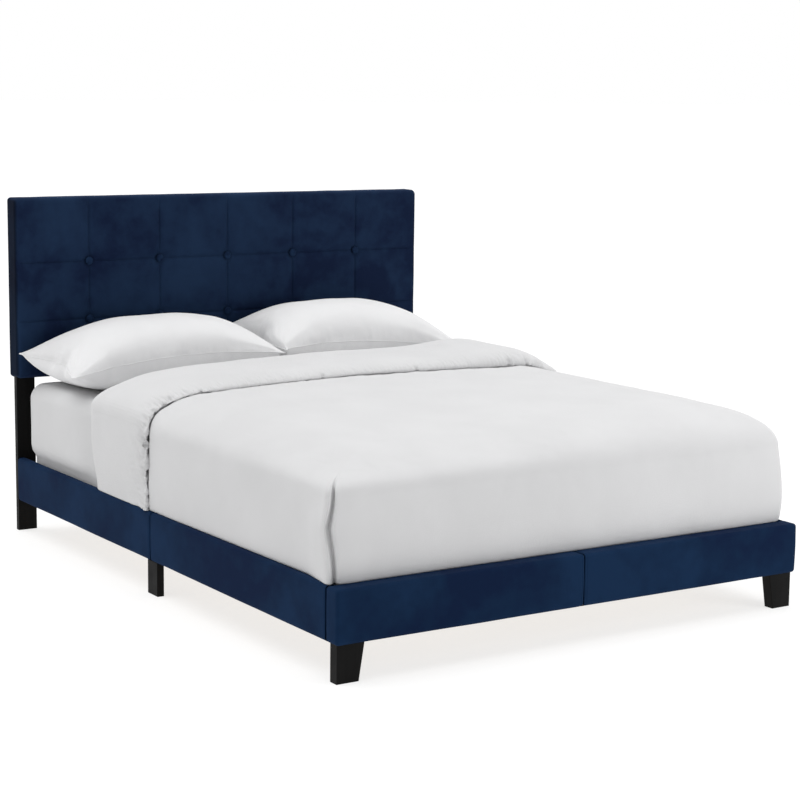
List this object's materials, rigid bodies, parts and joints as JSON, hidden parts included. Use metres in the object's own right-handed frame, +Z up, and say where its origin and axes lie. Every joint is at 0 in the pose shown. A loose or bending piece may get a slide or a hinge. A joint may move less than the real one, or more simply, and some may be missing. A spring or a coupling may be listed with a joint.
{
  "type": "upholstered bed",
  "caption": "Queen-size platform bed with a button-tufted velvet headboard, padded rails, black plank legs, wood slats, mattress, duvet and pillows.",
  "frame": {"origin": "on the floor, under the middle of the bed's footprint", "axes": "+X to the right seen from the foot, +Y from the foot to the headboard, +Z up"},
  "size_m": [1.608, 2.174, 1.142],
  "materials": {
    "velvet": "navy blue short-pile velvet over thin wadding",
    "button_velvet": "navy blue velvet over a button blank",
    "black_wood": "black satin lacquer",
    "pale_wood": "bare planed softwood",
    "plywood": "bare plywood",
    "foam": "open-cell upholstery foam",
    "lining": "black non-woven lining on thin board",
    "zinc_steel": "zinc-plated pressed steel",
    "white_linen": "smooth white cotton percale",
    "ticking": "knitted off-white mattress ticking"
  },
  "bodies": {
    "frame": {"headboard_cover": "velvet", "headboard_foam": "foam", "headboard_panel": "plywood", "headboard_frame": "pale_wood", "headboard_back": "lining", "tuft_button_1": "button_velvet", "tuft_button_2": "button_velvet", "tuft_button_3": "button_velvet", "tuft_button_4": "button_velvet", "tuft_button_5": "button_velvet", "tuft_button_6": "button_velvet", "tuft_button_7": "button_velvet", "tuft_button_8": "button_velvet", "tuft_button_9": "button_velvet", "tuft_button_10": "button_velvet", "leg_head_left": "black_wood", "leg_head_right": "black_wood", "footboard_core": "pale_wood", "footboard_cover_left": "velvet", "leg_foot_left": "black_wood", "footboard_cover_right": "velvet", "leg_foot_right": "black_wood", "rail_left_board": "pale_wood", "rail_left_cover_foot": "velvet", "rail_left_cover_head": "velvet", "leg_mid_left": "black_wood", "ledger_left": "pale_wood", "rail_right_board": "pale_wood", "rail_right_cover_foot": "velvet", "rail_right_cover_head": "velvet", "leg_mid_right": "black_wood", "ledger_right": "pale_wood", "centre_beam": "pale_wood", "head_crossbar": "black_wood", "centre_leg_1": "black_wood", "centre_leg_2": "black_wood", "centre_leg_3": "black_wood", "beam_hanger_foot": "zinc_steel", "beam_hanger_head": "zinc_steel", "bracket_foot_left": "zinc_steel", "bracket_head_left": "zinc_steel", "bracket_foot_right": "zinc_steel", "bracket_head_right": "zinc_steel", "slat_1": "pale_wood", "slat_2": "pale_wood", "slat_3": "pale_wood", "slat_4": "pale_wood", "slat_5": "pale_wood", "slat_6": "pale_wood", "slat_7": "pale_wood", "slat_8": "pale_wood", "slat_9": "pale_wood", "slat_10": "pale_wood", "slat_11": "pale_wood"},
    "mattress": {"mattress": "ticking", "fitted_sheet": "white_linen"},
    "duvet": {"duvet": "white_linen"},
    "pillow_left": {"pillow_left": "white_linen"},
    "pillow_right": {"pillow_right": "white_linen"}
  },
  "joints": [
    {"name": "mattress_lift", "type": "slide", "parent": "frame", "child": "mattress", "axis": [0, 0, 1], "range_m": [0, 0.35]},
    {"name": "duvet_lift", "type": "slide", "parent": "mattress", "child": "duvet", "axis": [0, 0, 1], "range_m": [0, 0.35]},
    {"name": "pillow_left_lift", "type": "slide", "parent": "mattress", "child": "pillow_left", "axis": [0, 0, 1], "range_m": [0, 0.3]},
    {"name": "pillow_right_lift", "type": "slide", "parent": "mattress", "child": "pillow_right", "axis": [0, 0, 1], "range_m": [0, 0.3]}
  ]
}
